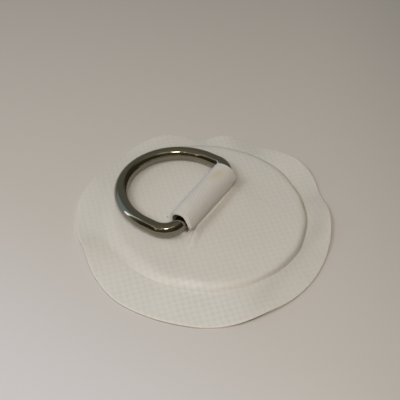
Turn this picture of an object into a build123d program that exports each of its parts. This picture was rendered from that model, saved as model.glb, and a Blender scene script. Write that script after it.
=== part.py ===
"""Soft pad eye: a welded D-ring held by a folded strap in a glue-on patch of coated fabric.

Millimetres, +Z up. The origin is the centre of the glue face, which lies at z = 0.
The straight bar of the ring runs along Y, and at rest the bow lies towards -X.
"""
from build123d import *
import math
import os

# ---- fabric plies, listed from the glue face up ----
BACKING_T = 0.8           # lower disc, which closes the strap's tails in
STRAP_T = 1.3             # the strap, folded round the ring's bar
REINFORCING_T = 0.6       # disc between the tails and the cover
COVER_T = 0.9             # the large disc that shows

# ---- discs ----
STACK_R = 40.2            # radius of the backing and reinforcing discs
PLATEAU_R = 41.3          # edge of the raised flat of the cover
FOOT_R = 45.3             # where the cover's slope meets its flat rim
PLATEAU_FILLET = 3.0      # rounding at the top of the slope
FOOT_FILLET = 2.0         # rounding at the foot of the slope
# The hand-cut edge of the rim: angle from +X in degrees, and radius
RIM = [
    (0, 57.3), (11, 56.5), (22, 56.0), (35, 55.7), (47, 54.9), (58, 56.7),
    (70, 57.4), (82, 55.9), (92, 53.3), (102, 53.9), (112, 53.7), (124, 49.8),
    (133, 52.4), (143, 55.3), (154, 55.2), (167, 53.8), (182, 53.9), (195, 54.9),
    (207, 56.4), (218, 56.4), (228, 56.8), (239, 56.7), (252, 59.0), (267, 61.5),
    (281, 61.8), (293, 62.1), (302, 62.2), (314, 61.8), (327, 59.9), (342, 58.8),
]

# ---- D-ring ----
WIRE_R = 3.0
RING_INNER_W = 45.0       # clear width between the legs
RING_CORNER_R = 8.0       # bend at each end of the bar, on the wire's centreline
RING_LEG = 4.5            # straight leg between a bend and the bow
RING_CLEARANCE = 0.3      # between the ring and the fabric that it rests on
RING_Y = -0.7             # the ring has slid a little to one side in its loop
BAR_X = -1.2
WELD_R = 3.1              # butt weld in the middle of the bar, inside the strap
WELD_LENGTH = 4.0
WELD_FILLET = 0.09        # the weld bead's ends blend into the wire

# ---- strap loop ----
STRAP_W = 37.0
STRAP_Y = 0.5             # middle of the strap's width
TUNNEL_X = -1.1           # axis of the tunnel that the bar turns in
TUNNEL_R = 4.0            # inside radius of the tunnel
BEND_INNER_R = 0.2        # inside radius of the strap's sharp bends
PLY_GAP = 0.2             # between the two plies where they pass through the slit
SLIT_X = 1.8              # middle of the slit
SLIT_EDGE_GAP = 0.3       # between a ply and the edge of the slit
SLIT_END_GAP = 0.5        # past each edge of the strap
TAIL_END_L = -29.0        # X of the end of each tail
TAIL_END_R = 32.0

# ---- heights and radii that follow ----
TAIL_Z = BACKING_T + STRAP_T / 2
REINFORCING_Z = BACKING_T + STRAP_T
COVER_Z = REINFORCING_Z + REINFORCING_T
PLATEAU_Z = COVER_Z + COVER_T
RUN_Z = PLATEAU_Z + STRAP_T / 2
BAR_Z = PLATEAU_Z + STRAP_T + RING_CLEARANCE + WIRE_R
TUNNEL_Z = PLATEAU_Z + STRAP_T + TUNNEL_R
BOW_R = RING_INNER_W / 2 + WIRE_R
RING_DEPTH = RING_CORNER_R + RING_LEG + BOW_R
RING_DROP = BAR_Z - (PLATEAU_Z + RING_CLEARANCE + WIRE_R)
RING_TILT = math.degrees(math.asin(RING_DROP / RING_DEPTH))


def disc_with_slit(radius, thickness, bottom_z):
    """A flat disc with the slit that the two plies of the strap pass through."""
    disc = Pos(0, 0, bottom_z) * extrude(Circle(radius), thickness)
    return disc - slit_cutter()


def slit_cutter():
    """A block the size of the slit, from the glue face to above the cover."""
    width = 2 * STRAP_T + PLY_GAP + 2 * SLIT_EDGE_GAP
    length = STRAP_W + 2 * SLIT_END_GAP
    return Pos(SLIT_X, STRAP_Y, PLATEAU_Z) * Box(width, length, 2 * PLATEAU_Z)


def cover_disc():
    """The large disc: a flat rim, a rounded slope and a raised flat over the plies below."""
    knots = [Vector(radius, 0).rotate(Axis.Z, angle) for angle, radius in RIM]
    outline = Spline(*knots, periodic=True)
    rim = extrude(make_face(outline), COVER_T) - extrude(Circle(FOOT_R + FOOT_FILLET), COVER_T)
    slope = math.atan2(PLATEAU_Z - COVER_T, FOOT_R - PLATEAU_R)
    inset = COVER_T * math.tan(slope / 2)
    top = [(0, PLATEAU_Z), (PLATEAU_R, PLATEAU_Z), (FOOT_R, COVER_T)]
    under = [(FOOT_R - inset, 0), (PLATEAU_R - inset, COVER_Z), (0, COVER_Z)]
    profile = Polyline(
        *top, (FOOT_R + FOOT_FILLET, COVER_T), (FOOT_R + FOOT_FILLET, 0), *under, close=True
    )
    section = make_face(profile)
    for point, radius in (
        (top[1], PLATEAU_FILLET),
        (top[2], FOOT_FILLET),
        (under[0], FOOT_FILLET + COVER_T),
        (under[1], PLATEAU_FILLET - COVER_T),
    ):
        corner = section.vertices().sort_by_distance((*point, 0))[0]
        section = fillet(corner, radius)
    dome = revolve(Plane.XZ * section, Axis.Z)
    return (dome + rim).clean() - slit_cutter()


def strap_path():
    """The middle line of the strap in the XZ plane, from the end of one tail to the other."""
    bend = BEND_INNER_R + STRAP_T / 2
    loop = TUNNEL_R + STRAP_T / 2
    half_pitch = (STRAP_T + PLY_GAP) / 2
    inner_x = SLIT_X - half_pitch
    outer_x = SLIT_X + half_pitch
    # The outer wall leaves the tunnel and turns back to vertical at the mouth of the slit,
    # on one arc that is tangent to the tunnel.
    reach = outer_x - TUNNEL_X
    drop = TUNNEL_Z - PLATEAU_Z
    wall = (drop**2 - loop**2 + reach**2) / (2 * (loop - reach))
    angle = math.atan2(-drop, reach + wall)
    leave = (TUNNEL_X + loop * math.cos(angle), TUNNEL_Z + loop * math.sin(angle))
    middle = math.pi + angle / 2
    wall_middle = (
        outer_x + wall + wall * math.cos(middle),
        PLATEAU_Z + wall * math.sin(middle),
    )
    return [
        Line((TAIL_END_L, TAIL_Z), (inner_x - bend, TAIL_Z)),
        CenterArc((inner_x - bend, TAIL_Z + bend), bend, -90, 90),
        Line((inner_x, TAIL_Z + bend), (inner_x, RUN_Z - bend)),
        CenterArc((inner_x - bend, RUN_Z - bend), bend, 0, 90),
        Line((inner_x - bend, RUN_Z), (TUNNEL_X, RUN_Z)),
        ThreePointArc((TUNNEL_X, RUN_Z), (TUNNEL_X - loop, TUNNEL_Z), (TUNNEL_X, TUNNEL_Z + loop)),
        CenterArc((TUNNEL_X, TUNNEL_Z), loop, 90, math.degrees(angle) - 90),
        ThreePointArc(leave, wall_middle, (outer_x, PLATEAU_Z)),
        Line((outer_x, PLATEAU_Z), (outer_x, TAIL_Z + bend)),
        CenterArc((outer_x + bend, TAIL_Z + bend), bend, 180, 90),
        Line((outer_x + bend, TAIL_Z), (TAIL_END_R, TAIL_Z)),
    ]


def ply(stretch):
    """The strap's section along one straight or round stretch of its middle line."""
    sides = []
    for offset_by in (STRAP_T / 2, -STRAP_T / 2):
        points = []
        for along in (0, 0.5, 1):
            tangent = stretch % along
            points.append(stretch @ along + Vector(-tangent.Y, tangent.X) * offset_by)
        straight = stretch.geom_type == GeomType.LINE
        sides.append(Line(points[0], points[2]) if straight else ThreePointArc(*points))
    left, right = sides
    return make_face([left, Line(left @ 1, right @ 1), right, Line(right @ 0, left @ 0)])


def ring_strap():
    """One strip folded round the bar, with both tails spread flat under the discs."""
    section = Plane.XZ * (Sketch() + [ply(stretch) for stretch in strap_path()])
    return Pos(0, STRAP_Y, 0) * extrude(section, STRAP_W / 2, both=True)


def d_ring():
    """Round wire bent to a D and butt welded in the middle of its bar."""
    half_bar = BOW_R - RING_CORNER_R
    legs_end = -(RING_CORNER_R + RING_LEG)
    centreline = Curve() + [
        Line((0, -half_bar), (0, half_bar)),
        CenterArc((-RING_CORNER_R, half_bar), RING_CORNER_R, 0, 90),
        Line((-RING_CORNER_R, BOW_R), (legs_end, BOW_R)),
        CenterArc((legs_end, 0), BOW_R, 90, 180),
        Line((legs_end, -BOW_R), (-RING_CORNER_R, -BOW_R)),
        CenterArc((-RING_CORNER_R, -half_bar), RING_CORNER_R, 270, 90),
    ]
    section = Plane((0, 0, 0), z_dir=(0, 1, 0)) * Circle(WIRE_R)
    wire = sweep(section, path=centreline)
    weld = Rot(90, 0, 0) * Cylinder(WELD_R, WELD_LENGTH)
    weld = fillet(weld.edges(), WELD_FILLET)
    return Pos(BAR_X, RING_Y, BAR_Z) * Rot(0, -RING_TILT, 0) * (wire + weld)


PARTS = {
    "d_ring": d_ring,
    "ring_strap": ring_strap,
    "cover_disc": cover_disc,
    "reinforcing_disc": lambda: disc_with_slit(STACK_R, REINFORCING_T, REINFORCING_Z),
    "backing_disc": lambda: extrude(Circle(STACK_R), BACKING_T),
}

os.makedirs("parts", exist_ok=True)
for name, make in PARTS.items():
    export_step(make(), f"parts/{name}.step")
print(f"bar centre x {BAR_X} y {RING_Y} z {BAR_Z:.2f}, tilt {RING_TILT:.3f} deg, depth {RING_DEPTH}")
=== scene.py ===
import math

import bpy
import numpy as np
from mathutils import Matrix, Vector, noise


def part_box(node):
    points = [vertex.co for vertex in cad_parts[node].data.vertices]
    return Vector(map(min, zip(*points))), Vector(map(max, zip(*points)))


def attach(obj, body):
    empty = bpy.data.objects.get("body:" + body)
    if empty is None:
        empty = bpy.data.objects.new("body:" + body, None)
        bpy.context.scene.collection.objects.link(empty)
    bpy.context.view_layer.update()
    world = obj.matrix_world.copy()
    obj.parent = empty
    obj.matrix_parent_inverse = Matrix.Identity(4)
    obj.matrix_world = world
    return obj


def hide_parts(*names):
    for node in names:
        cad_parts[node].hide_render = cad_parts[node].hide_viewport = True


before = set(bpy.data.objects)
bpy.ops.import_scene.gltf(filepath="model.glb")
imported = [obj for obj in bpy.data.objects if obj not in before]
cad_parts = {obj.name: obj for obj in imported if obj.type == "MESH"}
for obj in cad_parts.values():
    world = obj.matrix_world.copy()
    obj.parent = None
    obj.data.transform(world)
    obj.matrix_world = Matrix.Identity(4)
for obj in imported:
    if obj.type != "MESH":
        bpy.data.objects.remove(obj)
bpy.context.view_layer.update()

MM = 0.001


# ---------------------------------------------------------------- sizes from the frame, in mm
def box_mm(node):
    """Lowest and highest corner of a CAD node, in millimetres."""
    low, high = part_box(node)
    return low / MM, high / MM


strap_low, strap_high = box_mm("ring_strap")
stack_low, stack_high = box_mm("reinforcing_disc")
cover_high = box_mm("cover_disc")[1]
backing_high = box_mm("backing_disc")[1]

PLATEAU_Z = cover_high.z
COVER_T = cover_high.z - stack_high.z
RIM_Z = COVER_T
STRAP_T = stack_low.z - backing_high.z
FLOOR_GAP = 0.05           # between the glue face and the floor that it lies on
FLOOR_HALF = 1500.0

# The strap's middle line: round the tunnel that the ring's bar turns in, and down the slit
LOOP_R = (strap_high.z - PLATEAU_Z - STRAP_T) / 2
TUNNEL = Vector((-1.1, 0, PLATEAU_Z + STRAP_T / 2 + LOOP_R))     # a point on the tunnel's axis
SLIT_X = 1.8
PLY_PITCH = STRAP_T + 0.2  # between the middles of the two plies in the slit
BEND_R = STRAP_T / 2 + 0.2
EDGE_ROUNDING = 0.10       # each face steps in this much at the strap's cut edges
LOOP_LUMPS = 0.12          # how far the loop is lumpy in and out

# The cover: the step from the raised flat to the rim, the slit and its lip
STEP_TOP_R = 39.4
STEP_FOOT_R = 45.4
SLIT_LEFT = 0.1
SLIT_RIGHT = 3.32
SLIT_CORNER_R = 0.8
PINCH = 2.5                # how far the slit draws in both edges of the strap
SLIT_NEAR = strap_low.y + PINCH - 1.5
SLIT_FAR = strap_high.y - PINCH + 0.5
LIP_HEIGHT = 1.0           # of the slit's right-hand edge over the raised flat
FOLD_HEIGHT = 0.6          # of the small fold across the slit's near end
CROWN = 0.5                # the rim's sheet stands this much higher at the foot of the slope
FLAT_WAVES = 0.12          # how far the raised flat waves up and down
RIM_WAVES = 0.10
TAIL_PRINT = 0.10          # how far the strap's tails press up through the cover
FOOT_WAVE = 0.12           # height of the wave inside the foot of the near slope
FOOT_WAVE_LENGTH = 2.9
FOOT_RIDGE = 0.36          # height of the ridge outside it
FOOT_RIDGE_PLACE = (299, 18)       # angle of their middle from +X, and their reach, in degrees
TIGHT_PLACE = (302, 22)    # angle and reach of the stretch where the foot lies closer in

# The rim's hand-cut edge: angle from +X in degrees, plan radius, and how far the edge stands up
RIM = [
    (0, 57.3, 0.2), (11, 56.5, 0.5), (22, 56.0, 1.5), (35, 55.7, 1.5), (47, 54.9, 0.2),
    (58, 56.7, 0.9), (70, 57.3, 2.0), (82, 55.9, 1.1), (92, 53.3, 0.0), (102, 54.1, 0.2),
    (112, 53.7, 1.3), (124, 49.8, 0.0), (133, 52.4, 0.6), (143, 55.2, 1.5), (154, 55.1, 1.0),
    (167, 53.8, 0.2), (182, 53.5, 1.0), (195, 54.6, 1.5), (207, 56.3, 0.6), (218, 56.4, 0.0),
    (228, 56.8, 0.5), (239, 56.5, 2.2), (252, 59.0, 1.0), (267, 61.5, 0.1), (281, 61.8, 0.1),
    (293, 62.1, 0.4), (302, 62.2, 0.1), (314, 61.6, 0.5), (327, 59.8, 1.1), (342, 58.8, 0.4),
]

# The cover's mesh: columns round it, and how far past the foot of its slope the close rows lie
COLUMNS = 480
FOOT_ROWS = (-0.35, -0.22, -0.12, -0.04, 0.04, 0.12, 0.25, 0.4, 0.6, 0.8, 1.0, 1.2, 1.45, 1.8, 2.2)
SHARP_ANGLE = math.radians(35)     # mesh edges that turn more than this are shaded sharp

# ---------------------------------------------------------------- colours, marks from use, and painted light and shade
WHITE = (0.797, 0.766, 0.722)
STRAP_WHITE = (0.772, 0.738, 0.705)
CUT_EDGE = (0.88, 0.82, 0.76)
# the strap's back is painted dark: painted shade for the inside of the tunnel and its mouth
SHADED_STRAP_BACK = (0.25, 0.225, 0.185)
GLUE_SIDE = (0.62, 0.60, 0.55)
YELLOWED = (0.72, 0.62, 0.42)
# painted shade, for the darker patches among the cover's marks
PAINTED_SHADE = (0.45, 0.41, 0.36)
ROOM_DARK = (0.055, 0.050, 0.032)
ROOM_LIGHT = (0.27, 0.245, 0.19)
ROOM_LEFT = (0.20, 0.20, 0.18)
WALL = (0.35, 0.49, 0.63)

# Each mark is a soft spot: its place and size in millimetres, its colour and its depth
EDGE_MARKS_AND_PAINTED_SHADE = (
    # painted shadow: the cut edge darkened under the rim's lifted stretch on the lower right
    ((46.0, -38.0, 0.5), (15.0, 14.0, 4.0), (0.10, 0.08, 0.06), 0.8),
    # the cut edge made darker along the near side
    ((0.0, -62.0, 0.5), (56.0, 26.0, 5.0), (0.40, 0.34, 0.27), 0.8),
)
COVER_MARKS_AND_PAINTED_LIGHT = (
    ((-10.3, -14.3, 3.7), (0.55, 0.45, 2.0), (0.05, 0.045, 0.04), 0.85),
    # painted shade: darker patches on the rim on the right
    ((38.0, 31.0, 1.5), (9.0, 13.0, 4.0), PAINTED_SHADE, 0.15),
    ((51.0, 10.0, 1.5), (9.0, 34.0, 4.0), PAINTED_SHADE, 0.10),
    # painted light: a pale patch that the ring's near bend throws on the flat
    ((-2.0, -28.5, 3.7), (7.0, 4.0, 3.0), (0.90, 0.88, 0.85), 0.30),
    # painted highlight along the slit's raised lip
    ((4.0, 0.0, 4.4), (0.95, 22.0, 3.0), (0.95, 0.93, 0.88), 0.8),
    # painted shade: a darker patch on the rim at the top
    ((-6.0, 50.0, 1.5), (11.0, 5.0, 4.0), PAINTED_SHADE, 0.10),
    # painted shade down the right-hand slope and its foot
    ((44.0, 0.0, 2.1), (9.0, 44.0, 1.5), PAINTED_SHADE, 0.45),
    # painted shadow of the strap on the flat right of the slit's lip
    ((6.4, -4.0, 3.9), (3.4, 21.0, 3.0), PAINTED_SHADE, 0.16),
    # painted shade over the left of the flat, its slope and the rim
    ((-44.0, -6.0, 3.0), (24.0, 30.0, 6.0), PAINTED_SHADE, 0.07),
    # painted light: the rim paler on the near side and the lower right
    ((10.0, -56.0, 2.0), (52.0, 16.0, 5.0), (0.87, 0.85, 0.82), 0.65),
    ((27.0, -44.0, 1.5), (30.0, 18.0, 5.0), (0.90, 0.88, 0.85), 0.60),
    # painted highlight along the top of the near slope
    ((18.0, -39.0, 3.2), (10.0, 4.5, 2.0), (0.95, 0.95, 0.95), 0.30),
)
STRAP_MARKS = (
    ((-1.5, 12.0, 13.4), (3.0, 5.0, 3.0), YELLOWED, 0.80),
    ((-2.2, 8.4, 13.0), (3.0, 4.0, 3.0), YELLOWED, 0.65),
    ((-1.5, 18.8, 12.5), (7.0, 1.3, 5.0), (0.93, 0.91, 0.88), 0.60),
)
# Where the weave shows more through the coat: place and size in millimetres, and how much more
WORN = (((22.0, -46.0, 1.2), (62.0, 28.0, 8.0), 0.5),)


# ---------------------------------------------------------------- small helpers
def smooth(t):
    """0 below 0, 1 above 1, and a smooth rise between."""
    t = np.clip(t, 0, 1)
    return t * t * (3 - 2 * t)


def bell(d, width):
    """1 at no distance, falling smoothly to almost 0 at twice the width."""
    return np.exp(-((d / width) ** 2))


def wobble(x, y, size, seed):
    """Smooth noise from about -1 to 1 over a grid of plan points."""
    flat = [
        noise.noise(Vector((a / size, b / size, seed)))
        for a, b in zip(np.ravel(x), np.ravel(y))
    ]
    return np.array(flat).reshape(np.shape(x))


def round_curve(angles, knots):
    """Periodic smooth curve through (angle, value) knots, by Catmull-Rom."""
    k = np.array([a for a, _ in knots], float)
    v = np.array([b for _, b in knots], float)
    k = np.concatenate([k[-2:] - 360, k, k[:2] + 360])
    v = np.concatenate([v[-2:], v, v[:2]])
    a = np.mod(angles, 360)
    i = np.clip(np.searchsorted(k, a, side="right") - 1, 1, len(k) - 3)
    t = (a - k[i]) / (k[i + 1] - k[i])
    m0 = (v[i + 1] - v[i - 1]) / (k[i + 1] - k[i - 1]) * (k[i + 1] - k[i])
    m1 = (v[i + 2] - v[i]) / (k[i + 2] - k[i]) * (k[i + 1] - k[i])
    return (
        (2 * t**3 - 3 * t**2 + 1) * v[i]
        + (t**3 - 2 * t**2 + t) * m0
        + (3 * t**2 - 2 * t**3) * v[i + 1]
        + (t**3 - t**2) * m1
    )


def walked(line):
    """How far along a line of points each of them lies."""
    return np.concatenate([[0], np.cumsum(np.hypot(*np.diff(line, axis=0).T))])


def metres(values):
    """Numbers in metres from numbers in millimetres."""
    return tuple(v * MM for v in values)


def shade(colour, factor):
    """A colour made darker or lighter by a factor."""
    return tuple(min(1, c * factor) for c in colour)


def new_mesh(name, points_mm, faces, material):
    """A mesh object in metres with smooth shading, split at sharp edges."""
    mesh = bpy.data.meshes.new(name)
    mesh.from_pydata((np.asarray(points_mm) * MM).tolist(), [], faces)
    mesh.validate()
    mesh.polygons.foreach_set("use_smooth", [True] * len(mesh.polygons))
    mesh.set_sharp_from_angle(angle=SHARP_ANGLE)
    mesh.materials.append(material)
    piece = bpy.data.objects.new(name, mesh)
    bpy.context.scene.collection.objects.link(piece)
    return piece


def paint(piece, numbers, material):
    """Give the faces with these numbers a material of their own."""
    piece.data.materials.append(material)
    for number in numbers:
        piece.data.polygons[number].material_index = len(piece.data.materials) - 1


def grid_faces(rows, columns, offset=0, flip=False):
    """Quads between the rows of a grid whose columns close into a ring."""
    faces = []
    for j in range(rows - 1):
        for i in range(columns):
            k = (i + 1) % columns
            quad = (
                offset + j * columns + i,
                offset + j * columns + k,
                offset + (j + 1) * columns + k,
                offset + (j + 1) * columns + i,
            )
            faces.append(quad[::-1] if flip else quad)
    return faces


# ---------------------------------------------------------------- node trees
class Nodes:
    """Short forms for building a node tree."""

    def __init__(self, tree):
        self.tree = tree

    def add(self, kind, **values):
        """A new node, with its settings and the values of its sockets."""
        node = self.tree.nodes.new(kind)
        for key, value in values.items():
            if hasattr(node, key) and key not in node.inputs:
                setattr(node, key, value)
            else:
                node.inputs[key].default_value = value
        return node

    def link(self, source, target):
        self.tree.links.new(source, target)

    def feed(self, socket, value):
        """Link a socket to another one, or set it to a number, a vector or a colour."""
        if isinstance(value, bpy.types.NodeSocket):
            self.link(value, socket)
        elif isinstance(value, (int, float)):
            socket.default_value = value
        else:
            socket.default_value = (*value, 1)[: len(socket.default_value)]

    def math(self, operation, *values):
        node = self.add("ShaderNodeMath", operation=operation)
        for socket, value in zip(node.inputs, values):
            self.feed(socket, value)
        return node.outputs[0]

    def vector_math(self, operation, *values):
        """A vector operation; its result is a number for a dot product or a length."""
        node = self.add("ShaderNodeVectorMath", operation=operation)
        for socket, value in zip(node.inputs, values):
            self.feed(socket, value)
        a_number = operation in ("DOT_PRODUCT", "LENGTH")
        return node.outputs["Value" if a_number else "Vector"]

    def rise(self, value, start, end, top=1.0):
        """0 at the start, top at the end, and a smooth change between."""
        node = self.add("ShaderNodeMapRange", interpolation_type="SMOOTHSTEP")
        node.inputs["From Min"].default_value = start
        node.inputs["From Max"].default_value = end
        node.inputs["To Max"].default_value = top
        self.link(value, node.inputs["Value"])
        return node.outputs["Result"]

    def noise(self, vector, scale, detail):
        node = self.add("ShaderNodeTexNoise", Scale=scale, Detail=detail)
        self.link(vector, node.inputs["Vector"])
        return node.outputs["Fac"]

    def mix(self, factor, a, b):
        """From colour a to colour b, each of them a fixed colour or a socket."""
        node = self.add("ShaderNodeMix", data_type="RGBA")
        for socket, value in zip((node.inputs[0], node.inputs[6], node.inputs[7]), (factor, a, b)):
            self.feed(socket, value)
        return node.outputs[2]

    def bump(self, height, distance, strength=1.0, normal=None):
        node = self.add("ShaderNodeBump", Distance=distance, Strength=strength)
        self.link(height, node.inputs["Height"])
        if normal is not None:
            self.link(normal, node.inputs["Normal"])
        return node.outputs["Normal"]


class Surface(Nodes):
    """A new material, and the node tree of its shader."""

    def __init__(self, name):
        self.material = bpy.data.materials.new(name)
        self.material.use_nodes = True
        super().__init__(self.material.node_tree)
        self.shader = self.tree.nodes["Principled BSDF"]

    def give(self, values):
        """Set or link the shader's sockets by name."""
        for name, value in values.items():
            self.feed(self.shader.inputs[name], value)


# ---------------------------------------------------------------- camera, light and floor
def camera():
    """The photograph's view: azimuth and elevation round the patch, slight roll, short tele."""
    azimuth, elevation, roll = math.radians(30.43), math.radians(44.19), math.radians(3.24)
    distance, pan_right, pan_up = 317.97, -2.12, 5.98
    back = Vector(
        (
            math.sin(azimuth) * math.cos(elevation),
            -math.cos(azimuth) * math.cos(elevation),
            math.sin(elevation),
        )
    )
    level = Vector((math.cos(azimuth), math.sin(azimuth), 0))
    upright = back.cross(level)
    right = math.cos(roll) * level + math.sin(roll) * upright
    up = -math.sin(roll) * level + math.cos(roll) * upright
    data = bpy.data.cameras.new("camera")
    data.lens = 64.26
    data.clip_start = 0.01
    cam = bpy.data.objects.new("camera", data)
    bpy.context.scene.collection.objects.link(cam)
    place = Matrix((right, up, back)).transposed().to_4x4()
    place.translation = (back * distance + right * pan_right + up * pan_up) * MM
    cam.matrix_world = place
    bpy.context.scene.camera = cam
    bpy.context.scene.view_settings.view_transform = "Standard"


def area_light(name, place, target, size, watts, colour, glossy=True):
    """An elliptical light that faces its target, and that mirrors show only if it is glossy."""
    data = bpy.data.lights.new(name, "AREA")
    data.shape = "ELLIPSE"
    data.size, data.size_y = size
    data.energy = watts
    data.color = colour
    light = bpy.data.objects.new(name, data)
    light.location = place
    light.rotation_euler = (Vector(target) - Vector(place)).to_track_quat("-Z", "Y").to_euler()
    light.visible_glossy = glossy
    light.visible_camera = False
    bpy.context.scene.collection.objects.link(light)


def mirrored(name, start, end, width, radiance, colour):
    """A long light between two places, which only mirrors show."""
    data = bpy.data.lights.new(name, "AREA")
    data.shape = "RECTANGLE"
    data.size, data.size_y = (end - start).length, width
    data.energy = radiance * math.pi * data.size * width
    data.color = colour
    light = bpy.data.objects.new(name, data)
    middle = (start + end) / 2
    along = (end - start).normalized()
    away = middle.normalized()
    away = (away - along * away.dot(along)).normalized()
    turn = Matrix((along, away.cross(along), away)).transposed().to_4x4()
    turn.translation = middle
    light.matrix_world = turn
    light.visible_diffuse = False
    light.visible_camera = False
    bpy.context.scene.collection.objects.link(light)


def toward(azimuth, elevation, distance=1):
    """A place seen from the patch at an azimuth from +X and an elevation, in degrees."""
    a, e = math.radians(azimuth), math.radians(elevation)
    return Vector((math.cos(e) * math.cos(a), math.cos(e) * math.sin(a), math.sin(e))) * distance


def lights():
    """Ceiling light on the near side, daylight from the left, and what the steel mirrors."""
    middle = (0, 0, 0)
    warm, cool = (1.0, 0.93, 0.85), (0.94, 0.97, 0.98)
    area_light("lamp", toward(-53, 62, 0.70), middle, (0.15, 0.06), 0.55, warm)
    area_light("ceiling", toward(-64, 50, 0.60), middle, (0.32, 0.32), 1.03, warm, glossy=False)
    area_light("daylight", toward(-118, 50, 0.60), middle, (0.22, 0.22), 0.70, cool, glossy=False)
    area_light("low_daylight", toward(-142, 20, 0.50), middle, (0.25, 0.25), 0.04, cool, glossy=False)
    # what the steel mirrors, a tall window and a ceiling with warm lamps: azimuth and elevation of
    # both ends of each light, its width, its radiance and its colour
    far = 0.80
    warm_white = (1.0, 0.91, 0.78)
    for name, start, end, width, radiance, colour in (
        ("window", (-147, 2), (-147, 22), 0.13, 2.5, (0.90, 0.94, 1.06)),
        ("window_top", (-147, 22), (-152, 55), 0.09, 1.1, (0.95, 0.97, 1.0)),
        ("ceiling_left", (-150, 57), (-112, 47), 0.18, 0.34, warm_white),
        ("ceiling_near", (-112, 46), (-80, 50), 0.20, 0.50, warm_white),
        ("ceiling_middle", (-80, 58), (-34, 63), 0.22, 0.45, warm_white),
        ("ceiling_right", (-34, 63), (12, 68), 0.20, 0.50, warm_white),
        ("warm_low", (-101, 35), (-96, 37), 0.06, 4.0, (1.0, 0.76, 0.52)),
        ("warm_high", (-80, 56), (-75, 58), 0.05, 4.0, (1.0, 0.80, 0.60)),
    ):
        mirrored(name, toward(*start, far), toward(*end, far), width, radiance, colour)


def room():
    """The dim room that the steel mirrors: paler overhead, in front and on the far left."""
    world = bpy.data.worlds.new("room")
    bpy.context.scene.world = world
    world.use_nodes = True
    n = Nodes(world.node_tree)
    place = n.add("ShaderNodeTexCoord").outputs["Generated"]

    def around(direction, start, end):
        """0 away from a direction and 1 towards it, changing between two cosines."""
        return n.rise(n.vector_math("DOT_PRODUCT", place, direction), start, end)

    overhead = around((0, 0, 1), 0.72, 0.92)
    in_front = n.math("MULTIPLY", around(toward(-58, 28), 0.74, 0.88), 0.22)
    colour = n.mix(n.math("MAXIMUM", overhead, in_front), ROOM_DARK, ROOM_LIGHT)
    colour = n.mix(around(toward(160, 0), 0.15, 0.5), colour, ROOM_LEFT)
    # one bluish wall beside the window
    colour = n.mix(around(toward(-165, 19), 0.875, 0.97), colour, WALL)
    background = n.tree.nodes["Background"]
    n.link(colour, background.inputs["Color"])
    background.inputs["Strength"].default_value = 1.0


def floor(material):
    """The plain surface that the patch lies on."""
    half = FLOOR_HALF
    corners = ((-half, -half), (half, -half), (half, half), (-half, half))
    points = [(x, y, -FLOOR_GAP) for x, y in corners]
    piece = new_mesh("floor", points, [(0, 1, 2, 3)], material)


# ---------------------------------------------------------------- materials
def plan_vector(n):
    """Place in the object's own frame, in metres."""
    return n.add("ShaderNodeTexCoord").outputs["Object"]


def strip_vector(n):
    """Place along and across the unrolled strap, in metres."""
    return n.add("ShaderNodeUVMap", uv_map="strip").outputs["UV"]


def spot(n, place, size, depth):
    """A soft blob round a place on the piece, in millimetres: depth in its middle, 0 outside."""
    away = n.vector_math("SUBTRACT", plan_vector(n), metres(place))
    scaled = n.vector_math("DIVIDE", away, metres(size))
    return n.rise(n.vector_math("LENGTH", scaled), 1.0, 0.2, depth)


def marked(n, base, marks):
    """A base colour with marks on it: marks from use, and painted light and shade."""
    for place, size, tint, depth in marks:
        base = n.mix(spot(n, place, size, depth), base, tint)
    return base


def weave(n, vector, pitch, angle):
    """Plain weave under its coat: small pits in a chequered grid, 1 at the surface, 0 in a pit."""
    uneven = n.add("ShaderNodeTexNoise", Scale=170.0, Detail=1.0)
    n.link(vector, uneven.inputs["Vector"])
    shift = n.add("ShaderNodeVectorMath", operation="SCALE", Scale=0.9 * MM)
    n.link(uneven.outputs["Color"], shift.inputs[0])
    moved = n.vector_math("ADD", vector, shift.outputs[0])
    turn = n.add("ShaderNodeVectorRotate", rotation_type="Z_AXIS", Angle=math.radians(angle))
    n.link(moved, turn.inputs["Vector"])
    axes = n.add("ShaderNodeSeparateXYZ")
    n.link(turn.outputs["Vector"], axes.inputs["Vector"])
    warp = n.math("MULTIPLY", axes.outputs["X"], math.pi / (pitch[0] * MM))
    weft = n.math("MULTIPLY", axes.outputs["Y"], math.pi / (pitch[1] * MM))
    rising = n.math("COSINE", n.math("ADD", warp, weft))
    falling = n.math("COSINE", n.math("SUBTRACT", warp, weft))
    level = n.math("MULTIPLY_ADD", rising, 0.28, n.math("MULTIPLY_ADD", falling, 0.22, 0.5))
    return n.math("POWER", level, 0.6)


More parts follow.
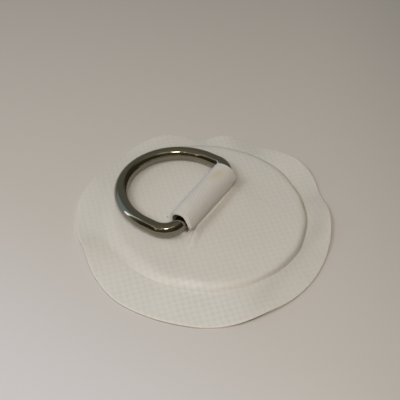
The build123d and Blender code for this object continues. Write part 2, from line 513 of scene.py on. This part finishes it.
def fabric(name, colour, vector_of, pitch=(1.75, 1.82), angle=-4.0, contrast=0.21, worn=(), marks=()):
    """PVC-coated fabric: weave, a faint mottle, marks from use and painted light and shade, satin
    coat.
    """
    n = Surface(name)
    vector = vector_of(n)
    level = weave(n, vector, pitch, angle)
    mottle = n.noise(vector, 60, 4)
    cloud = n.noise(vector, 18, 2)
    fine = n.noise(vector, 1100, 3)
    base = n.mix(cloud, shade(colour, 0.965), shade(colour, 1.03))
    base = n.mix(n.math("MULTIPLY", mottle, 0.12), base, shade(colour, 0.86))
    base = marked(n, base, marks)
    # the pits are darker, most of all where the fabric is worn
    pit = n.math("SUBTRACT", 1.0, level)
    shown = n.math("MULTIPLY_ADD", mottle, contrast, 0.02)
    for place, size, more in worn:
        shown = n.math("MULTIPLY", shown, n.math("ADD", spot(n, place, size, more), 1.0))
    base = n.mix(n.math("MULTIPLY", pit, shown), base, shade(colour, 0.55))
    rough = n.math("MULTIPLY_ADD", mottle, 0.16, 0.38)
    grain = n.bump(fine, 0.02 * MM, 0.6)
    n.give(
        {
            "Base Color": base,
            "Roughness": n.math("MULTIPLY_ADD", pit, 0.10, rough),
            "Normal": n.bump(level, 0.06 * MM, 1.0, grain),
            "Specular IOR Level": 0.42,
            "Sheen Weight": 0.04,
            "Subsurface Weight": 0.3,
            "Subsurface Radius": (1.0, 0.9, 0.75),
            "Subsurface Scale": 1.2 * MM,
        }
    )
    return n.material


def plain_fabric(name, colour, marks=()):
    """Scrim and glue where the coat doesn't cover the fabric: its back and its cut sides, with
    painted shade in the strap's dark back and in a cut-edge mark.
    """
    n = Surface(name)
    grain = n.noise(plan_vector(n), 900, 3)
    base = marked(n, n.mix(grain, shade(colour, 0.85), colour), marks)
    n.give(
        {
            "Base Color": base,
            "Roughness": 0.85,
            "Specular IOR Level": 0.25,
            "Normal": n.bump(grain, 0.05 * MM),
        }
    )
    return n.material


def steel():
    """Polished stainless steel, faintly smeared."""
    n = Surface("polished_steel")
    vector = plan_vector(n)
    smear = n.noise(vector, 120, 4)
    fine = n.noise(vector, 1500, 3)
    n.give(
        {
            "Base Color": n.mix(smear, (0.26, 0.24, 0.185), (0.31, 0.285, 0.225)),
            "Metallic": 1.0,
            "Roughness": n.math("MULTIPLY_ADD", smear, 0.05, 0.035),
            "Normal": n.bump(fine, 0.004 * MM, 0.4),
        }
    )
    return n.material


def floor_material():
    """A pale surface, with painted light and shade across it."""
    n = Surface("pale_floor")
    vector = plan_vector(n)
    base = n.mix(n.noise(vector, 3, 2), (0.71, 0.665, 0.635), (0.73, 0.69, 0.665))
    # painted shade: a little darker towards the right
    right = n.vector_math("DOT_PRODUCT", vector, (0.9, 0.44, 0.0))
    base = n.mix(n.rise(right, 0.04, 0.18, 0.24), base, (0.02, 0.02, 0.02))
    # and painted light: paler and bluer on the near side, towards the daylight
    near = n.vector_math("DOT_PRODUCT", vector, (0.0, -1.0, 0.0))
    base = n.mix(n.rise(near, 0.03, 0.12, 0.8), base, (0.80, 0.79, 0.84))
    n.give({"Base Color": base, "Roughness": 0.7})
    return n.material


# ---------------------------------------------------------------- cover disc
def soft_side(angle):
    """1 on the left, where the slope is soft and wide, and 0 where it is crisp."""
    return smooth((np.cos(np.radians(angle - 205)) - 0.25) / 0.5)


def stretch(angle, middle, reach):
    """1 at one angle round the patch, falling to 0 on both sides of it."""
    return bell(np.mod(angle, 360) - middle, reach)


def foot_radius(angle):
    """Where the slope meets the rim: an uneven circle, wide on the soft side, tight on the near."""
    a = np.radians(angle)
    uneven = 0.20 * np.sin(5 * a + 0.7) + 0.15 * np.sin(9 * a + 2.1) + 0.10 * np.sin(17 * a)
    return STEP_FOOT_R + uneven + 1.2 * soft_side(angle) - stretch(angle, *TIGHT_PLACE)


def rim_point(angle):
    """Plan point of the rim's cut edge at an angle."""
    radius = round_curve(angle, [(a, r) for a, r, _ in RIM])
    return radius * np.cos(np.radians(angle)), radius * np.sin(np.radians(angle))


def between(value, low, high, margin):
    """1 well between two limits, falling across 3 mm to 0 at the margin outside them."""
    return smooth((high + margin - value) / 3) * smooth((value - low + margin) / 3)


def foot_wave(past, angle):
    """Height of the ridge outside the foot of the near slope, and of the wave inside it."""
    phase = 2 * np.pi * (past - 0.4) / FOOT_WAVE_LENGTH
    wave = FOOT_WAVE * np.cos(phase) * bell(past - 0.8, 2.0)
    ridge = FOOT_RIDGE * bell(past + 1.0, 0.65)
    return (wave + ridge) * stretch(angle, *FOOT_RIDGE_PLACE)


def slit_lip(x, y):
    """Height of the slit's right-hand lip, whose fold runs on past both ends of the slit."""
    past_near = np.clip(SLIT_NEAR + 6 - y, 0, None)
    past_far = np.clip(y - SLIT_FAR + 2, 0, None)
    ridge = SLIT_RIGHT + 0.25 * past_near - 0.012 * past_far**2
    fade = smooth((y - (SLIT_NEAR - 9)) / 9) * smooth((SLIT_FAR + 10 - y) / 10)
    right = x - ridge
    lip = np.where(right > 0, np.clip(1 - (right - 1.2) / 2.2, 0, 1), 1 - smooth(-right / 0.9))
    return LIP_HEIGHT * fade * lip


def cover_height(x, y):
    """Height of the cover's upper face over plan points."""
    r = np.hypot(x, y)
    angle = np.degrees(np.arctan2(y, x))
    # rounded over the edge of the plies, with a tight crease at its foot except on the soft side
    soft = soft_side(angle)
    foot = foot_radius(angle)
    top = STEP_TOP_R - 0.5 * soft
    crown = CROWN - 0.2 * np.cos(np.radians(angle - 20)) + 0.7 * soft
    t = np.clip((foot - r) / (foot - top), 0, 1)
    bend = 3.6 + 1.9 * np.cos(np.radians(angle - 15))
    step = (1 - soft) * (1 - (1 - t) ** bend) + soft * smooth(t)
    edge_r = np.hypot(*rim_point(angle))
    out = np.clip((r - foot) / (edge_r - foot), 0, 1)
    z = RIM_Z + crown * (1 - out) + (PLATEAU_Z - RIM_Z - crown) * step
    # the raised flat isn't quite flat: soft waves, and the strap's tails press through
    inside = smooth((STEP_TOP_R - r) / 8)
    z = z + inside * FLAT_WAVES * wobble(x, y, 14, 3.7)
    tail = between(y, strap_low.y, strap_high.y, 1.5)
    tail = tail * between(x, strap_low.x, strap_high.x, 1)
    z = z + TAIL_PRINT * tail
    z = z + foot_wave(foot - r, angle)
    z = z + slit_lip(x, y)
    # a small fold lies across the near end of the slit
    z = z + FOLD_HEIGHT * bell(x - 0.6, 2.4) * bell(y - SLIT_NEAR + 1.2, 1.1)
    # the rim's edge stands up unevenly
    lift = round_curve(angle, [(a, up) for a, _, up in RIM])
    z = z + lift * out
    z = z + smooth((r - foot) / 4) * RIM_WAVES * wobble(x, y, 9, 8.1)
    return z


def slit_outline(count):
    """Points round the slit's edge, evenly spaced, starting half way up its right side."""
    left, right = SLIT_LEFT + SLIT_CORNER_R, SLIT_RIGHT - SLIT_CORNER_R
    near, far = SLIT_NEAR + SLIT_CORNER_R, SLIT_FAR - SLIT_CORNER_R
    start = (SLIT_RIGHT, (SLIT_NEAR + SLIT_FAR) / 2)
    points = [start]
    for cx, cy, first in ((right, far, 0), (left, far, 90), (left, near, 180), (right, near, 270)):
        for turn in range(0, 91, 10):
            a = math.radians(first + turn)
            points.append((cx + SLIT_CORNER_R * math.cos(a), cy + SLIT_CORNER_R * math.sin(a)))
    line = np.array(points + [start])
    walk = walked(line)
    even = np.linspace(0, walk[-1], count, endpoint=False)
    return np.interp(even, walk, line[:, 0]), np.interp(even, walk, line[:, 1])


def cover_disc(material, edge_material):
    """The large disc, from the slit out to the rim's cut edge."""
    angles = np.linspace(0, 360, COLUMNS, endpoint=False)
    c, s = np.cos(np.radians(angles)), np.sin(np.radians(angles))
    slit_x, slit_y = slit_outline(COLUMNS)
    inner_r = STEP_TOP_R - 0.8     # last row of the flat
    bottom = foot_radius(angles)
    edge_x, edge_y = rim_point(angles)
    edge_r = np.hypot(edge_x, edge_y)
    # rows over the raised flat, down the slope, close round its foot, and over the rim
    rows = []
    for t in np.linspace(0, 1, 76) ** 1.5:
        rows.append((slit_x * (1 - t) + inner_r * c * t, slit_y * (1 - t) + inner_r * s * t))
    for t in np.linspace(0, 1, 16)[1:]:
        r = inner_r + (bottom - 0.5 - inner_r) * t
        rows.append((r * c, r * s))
    for past in FOOT_ROWS:
        rows.append(((bottom + past) * c, (bottom + past) * s))
    foot = bottom + FOOT_ROWS[-1]
    for t in list(np.linspace(0, 1, 16)[1:-1]) + [0.975, 0.99, 1.0]:
        r = foot + (edge_r - foot) * t
        rows.append((r * c, r * s))
    x = np.array([a for a, _ in rows])
    y = np.array([b for _, b in rows])
    z = cover_height(x, y)
    top = np.stack([x, y, z], -1)
    # unit normals of the upper face, from its own grid
    along = np.roll(top, -1, axis=1) - np.roll(top, 1, axis=1)
    across = np.gradient(top, axis=0)
    normal = np.cross(across, along)
    normal /= np.linalg.norm(normal, axis=2, keepdims=True)
    normal[normal[..., 2] < 0] *= -1
    under = top - normal * COVER_T
    under[..., 2] = np.maximum(under[..., 2], 0.0)
    # cut edges are a little rounded
    for row, drop in ((-1, 0.30), (-2, 0.10), (-3, 0.02), (0, 0.12)):
        top[row, :, 2] -= drop
    count = len(rows)
    points = np.concatenate([top.reshape(-1, 3), under.reshape(-1, 3)])
    size = count * COLUMNS
    faces = grid_faces(count, COLUMNS, flip=True) + grid_faces(count, COLUMNS, offset=size)
    sides = len(faces)
    outer = size - COLUMNS
    for i in range(COLUMNS):
        k = (i + 1) % COLUMNS
        faces.append((outer + i, outer + k, size + outer + k, size + outer + i))
        faces.append((k, i, size + i, size + k))
    piece = new_mesh("cover_sheet", points, faces, material)
    paint(piece, range(sides, len(piece.data.polygons)), edge_material)
    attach(piece, "patch")
    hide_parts("cover_disc")


# ---------------------------------------------------------------- strap
def arc(cx, cz, radius, start, turn):
    """Points on an arc in the XZ plane, about 0.35 mm apart; angles in degrees."""
    count = max(6, int(abs(math.radians(turn)) * radius / 0.35))
    a = np.radians(np.linspace(start, start + turn, count + 1))
    return [(cx + radius * math.cos(v), cz + radius * math.sin(v)) for v in a]


def strap_line():
    """Middle line of the strap, from the end of one tail, up round the tunnel, to the other."""
    tail_z = (stack_low.z + backing_high.z) / 2
    inner, outer = SLIT_X - PLY_PITCH / 2, SLIT_X + PLY_PITCH / 2
    run_z = PLATEAU_Z + STRAP_T / 2
    reach, drop = outer - TUNNEL.x, TUNNEL.z - PLATEAU_Z
    wall = (drop**2 - LOOP_R**2 + reach**2) / (2 * (LOOP_R - reach))
    leave = math.degrees(math.atan2(-drop, reach + wall))
    line = [(x, tail_z) for x in np.linspace(strap_low.x, inner - BEND_R, 24)]
    line += arc(inner - BEND_R, tail_z + BEND_R, BEND_R, -90, 90)
    line += arc(inner - BEND_R, run_z - BEND_R, BEND_R, 0, 90)
    line += arc(TUNNEL.x, TUNNEL.z, LOOP_R, 270, leave - 270)
    line += arc(outer + wall, PLATEAU_Z, wall, 180 + leave, -leave)
    line += arc(outer + BEND_R, tail_z + BEND_R, BEND_R, 180, 90)
    line += [(x, tail_z) for x in np.linspace(outer + BEND_R, strap_high.x, 24)]
    # where two stretches meet, one of their two points is left out
    kept = [line[0]]
    for p in line[1:]:
        if math.dist(p, kept[-1]) > 0.05:
            kept.append(p)
    return np.array(kept)


def strap_points(line, walk, across):
    """Points of the strap's coated face and its back, a line of each at every place across."""
    tangent = np.gradient(line, axis=0)
    tangent /= np.linalg.norm(tangent, axis=1, keepdims=True)
    side = np.stack([-tangent[:, 1], tangent[:, 0]], -1)
    around = np.degrees(np.arctan2(line[:, 1] - TUNNEL.z, line[:, 0] - TUNNEL.x))
    around = np.mod(around + 90, 360) - 90
    # 1 up on the loop, and 0 on the tails and in the slit
    loop = smooth((line[:, 1] - PLATEAU_Z - 1.5) / 3)
    width = across[-1]
    # the slit draws both edges in, most of all where the plies pass through it
    drawn = PINCH * smooth((TUNNEL.z - line[:, 1]) / (TUNNEL.z - PLATEAU_Z))
    drawn = drawn * smooth((line[:, 1] - 1.6) / 1.6) * smooth((line[:, 0] + 4.5) / 2.5)
    stations = []
    for a in across:
        y = strap_low.y + a
        from_end = min(a, width - a)
        half = STRAP_T / 2 - EDGE_ROUNDING * (1 - smooth(from_end / 0.3))
        # a little lumpy, tighter over the mouth and fuller along the left side towards the far end
        lumps = np.array([noise.noise(Vector((w / 6, y / 9, 2.2))) for w in walk])
        fuller = (0.4 + 0.8 * a / width) * bell(around - 152, 38)
        tighter = 0.35 * bell(a, 4) * bell(around - 100, 70)
        place = line + side * (loop * (LOOP_LUMPS * lumps + fuller - tighter))[:, None]
        inward = bell(a, 7) - bell(width - a, 7)
        # the near mouth's cut edge is thicker on its right side, and hugs the ring there
        thick = bell(a, 1.3) * (0.65 * bell(around + 42, 30) + 0.9 * bell(around - 30, 35))
        for reach in (half, -half - thick):
            face = place + side * np.broadcast_to(reach, len(line))[:, None]
            stations.append(np.stack([face[:, 0], y + drawn * inward, face[:, 1]], -1))
    return np.concatenate(stations)


def ring_strap(material, shaded_back_material, edge_material):
    """One strip folded round the ring's bar, with its two tails between the discs."""
    line = strap_line()
    walk = walked(line)
    width = strap_high.y - strap_low.y
    edge = np.array([0, 0.12, 0.3])
    across = np.concatenate([edge, np.linspace(0.7, width - 0.7, 60), width - edge[::-1]])
    points = strap_points(line, walk, across)
    count = len(line)
    last = len(across) - 1
    faces = []
    shaded_faces = []

    def at(j, back, i):
        """Number of the point at a place across and along, on the coated face or the back."""
        return (2 * j + back) * count + i

    for j in range(last):
        for i in range(count - 1):
            faces.append((at(j, 0, i), at(j, 0, i + 1), at(j + 1, 0, i + 1), at(j + 1, 0, i)))
            shaded_faces.append(len(faces))
            faces.append((at(j, 1, i + 1), at(j, 1, i), at(j + 1, 1, i), at(j + 1, 1, i + 1)))
        for i, order in ((0, 1), (count - 1, -1)):
            quad = (at(j, 0, i), at(j + 1, 0, i), at(j + 1, 1, i), at(j, 1, i))
            faces.append(quad[::order])
    sides = len(faces)
    for i in range(count - 1):
        faces.append((at(0, 0, i + 1), at(0, 0, i), at(0, 1, i), at(0, 1, i + 1)))
        faces.append((at(last, 0, i), at(last, 0, i + 1), at(last, 1, i + 1), at(last, 1, i)))
    # the sides of the lower ply under the ring are as dark as its back: painted shade for the dark
    # gap under the ring at the mouth
    under_ring = np.flatnonzero(line[:, 1] < PLATEAU_Z + STRAP_T)
    shaded_faces += [sides + 2 * i + k for i in under_ring if i < count // 2 for k in (0, 1)]
    piece = new_mesh("strap_strip", points, faces, material)
    paint(piece, range(sides, len(piece.data.polygons)), edge_material)
    paint(piece, shaded_faces, shaded_back_material)
    place = np.tile(np.concatenate([walk, walk]), len(across))
    sideways = np.repeat(across, 2 * count)
    uv = piece.data.uv_layers.new(name="strip")
    for loop_data, item in zip(piece.data.loops, uv.data):
        v = loop_data.vertex_index
        item.uv = (place[v] * MM, sideways[v] * MM)
    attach(piece, "patch")
    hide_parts("ring_strap")


# ---------------------------------------------------------------- build
camera()
lights()
room()
floor(floor_material())
edge = plain_fabric("cut_edge", CUT_EDGE, EDGE_MARKS_AND_PAINTED_SHADE)
# the strap's dark back is painted shade for the inside of the tunnel
back = plain_fabric("strap_back_painted_shade", SHADED_STRAP_BACK)
cover_face = fabric("coated_fabric", WHITE, plan_vector, worn=WORN, marks=COVER_MARKS_AND_PAINTED_LIGHT)
cover_disc(cover_face, edge)
strap_face = fabric(
    "strap_fabric", STRAP_WHITE, strip_vector, (0.65, 1.9), -30.0, contrast=0.45, marks=STRAP_MARKS
)
ring_strap(strap_face, back, edge)
metal = steel()
under_fabric = fabric("glue_side", GLUE_SIDE, plan_vector)
for node, material in (
    ("d_ring", metal),
    ("reinforcing_disc", under_fabric),
    ("backing_disc", under_fabric),
):
    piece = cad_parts[node]
    piece.data.materials.clear()
    piece.data.materials.append(material)
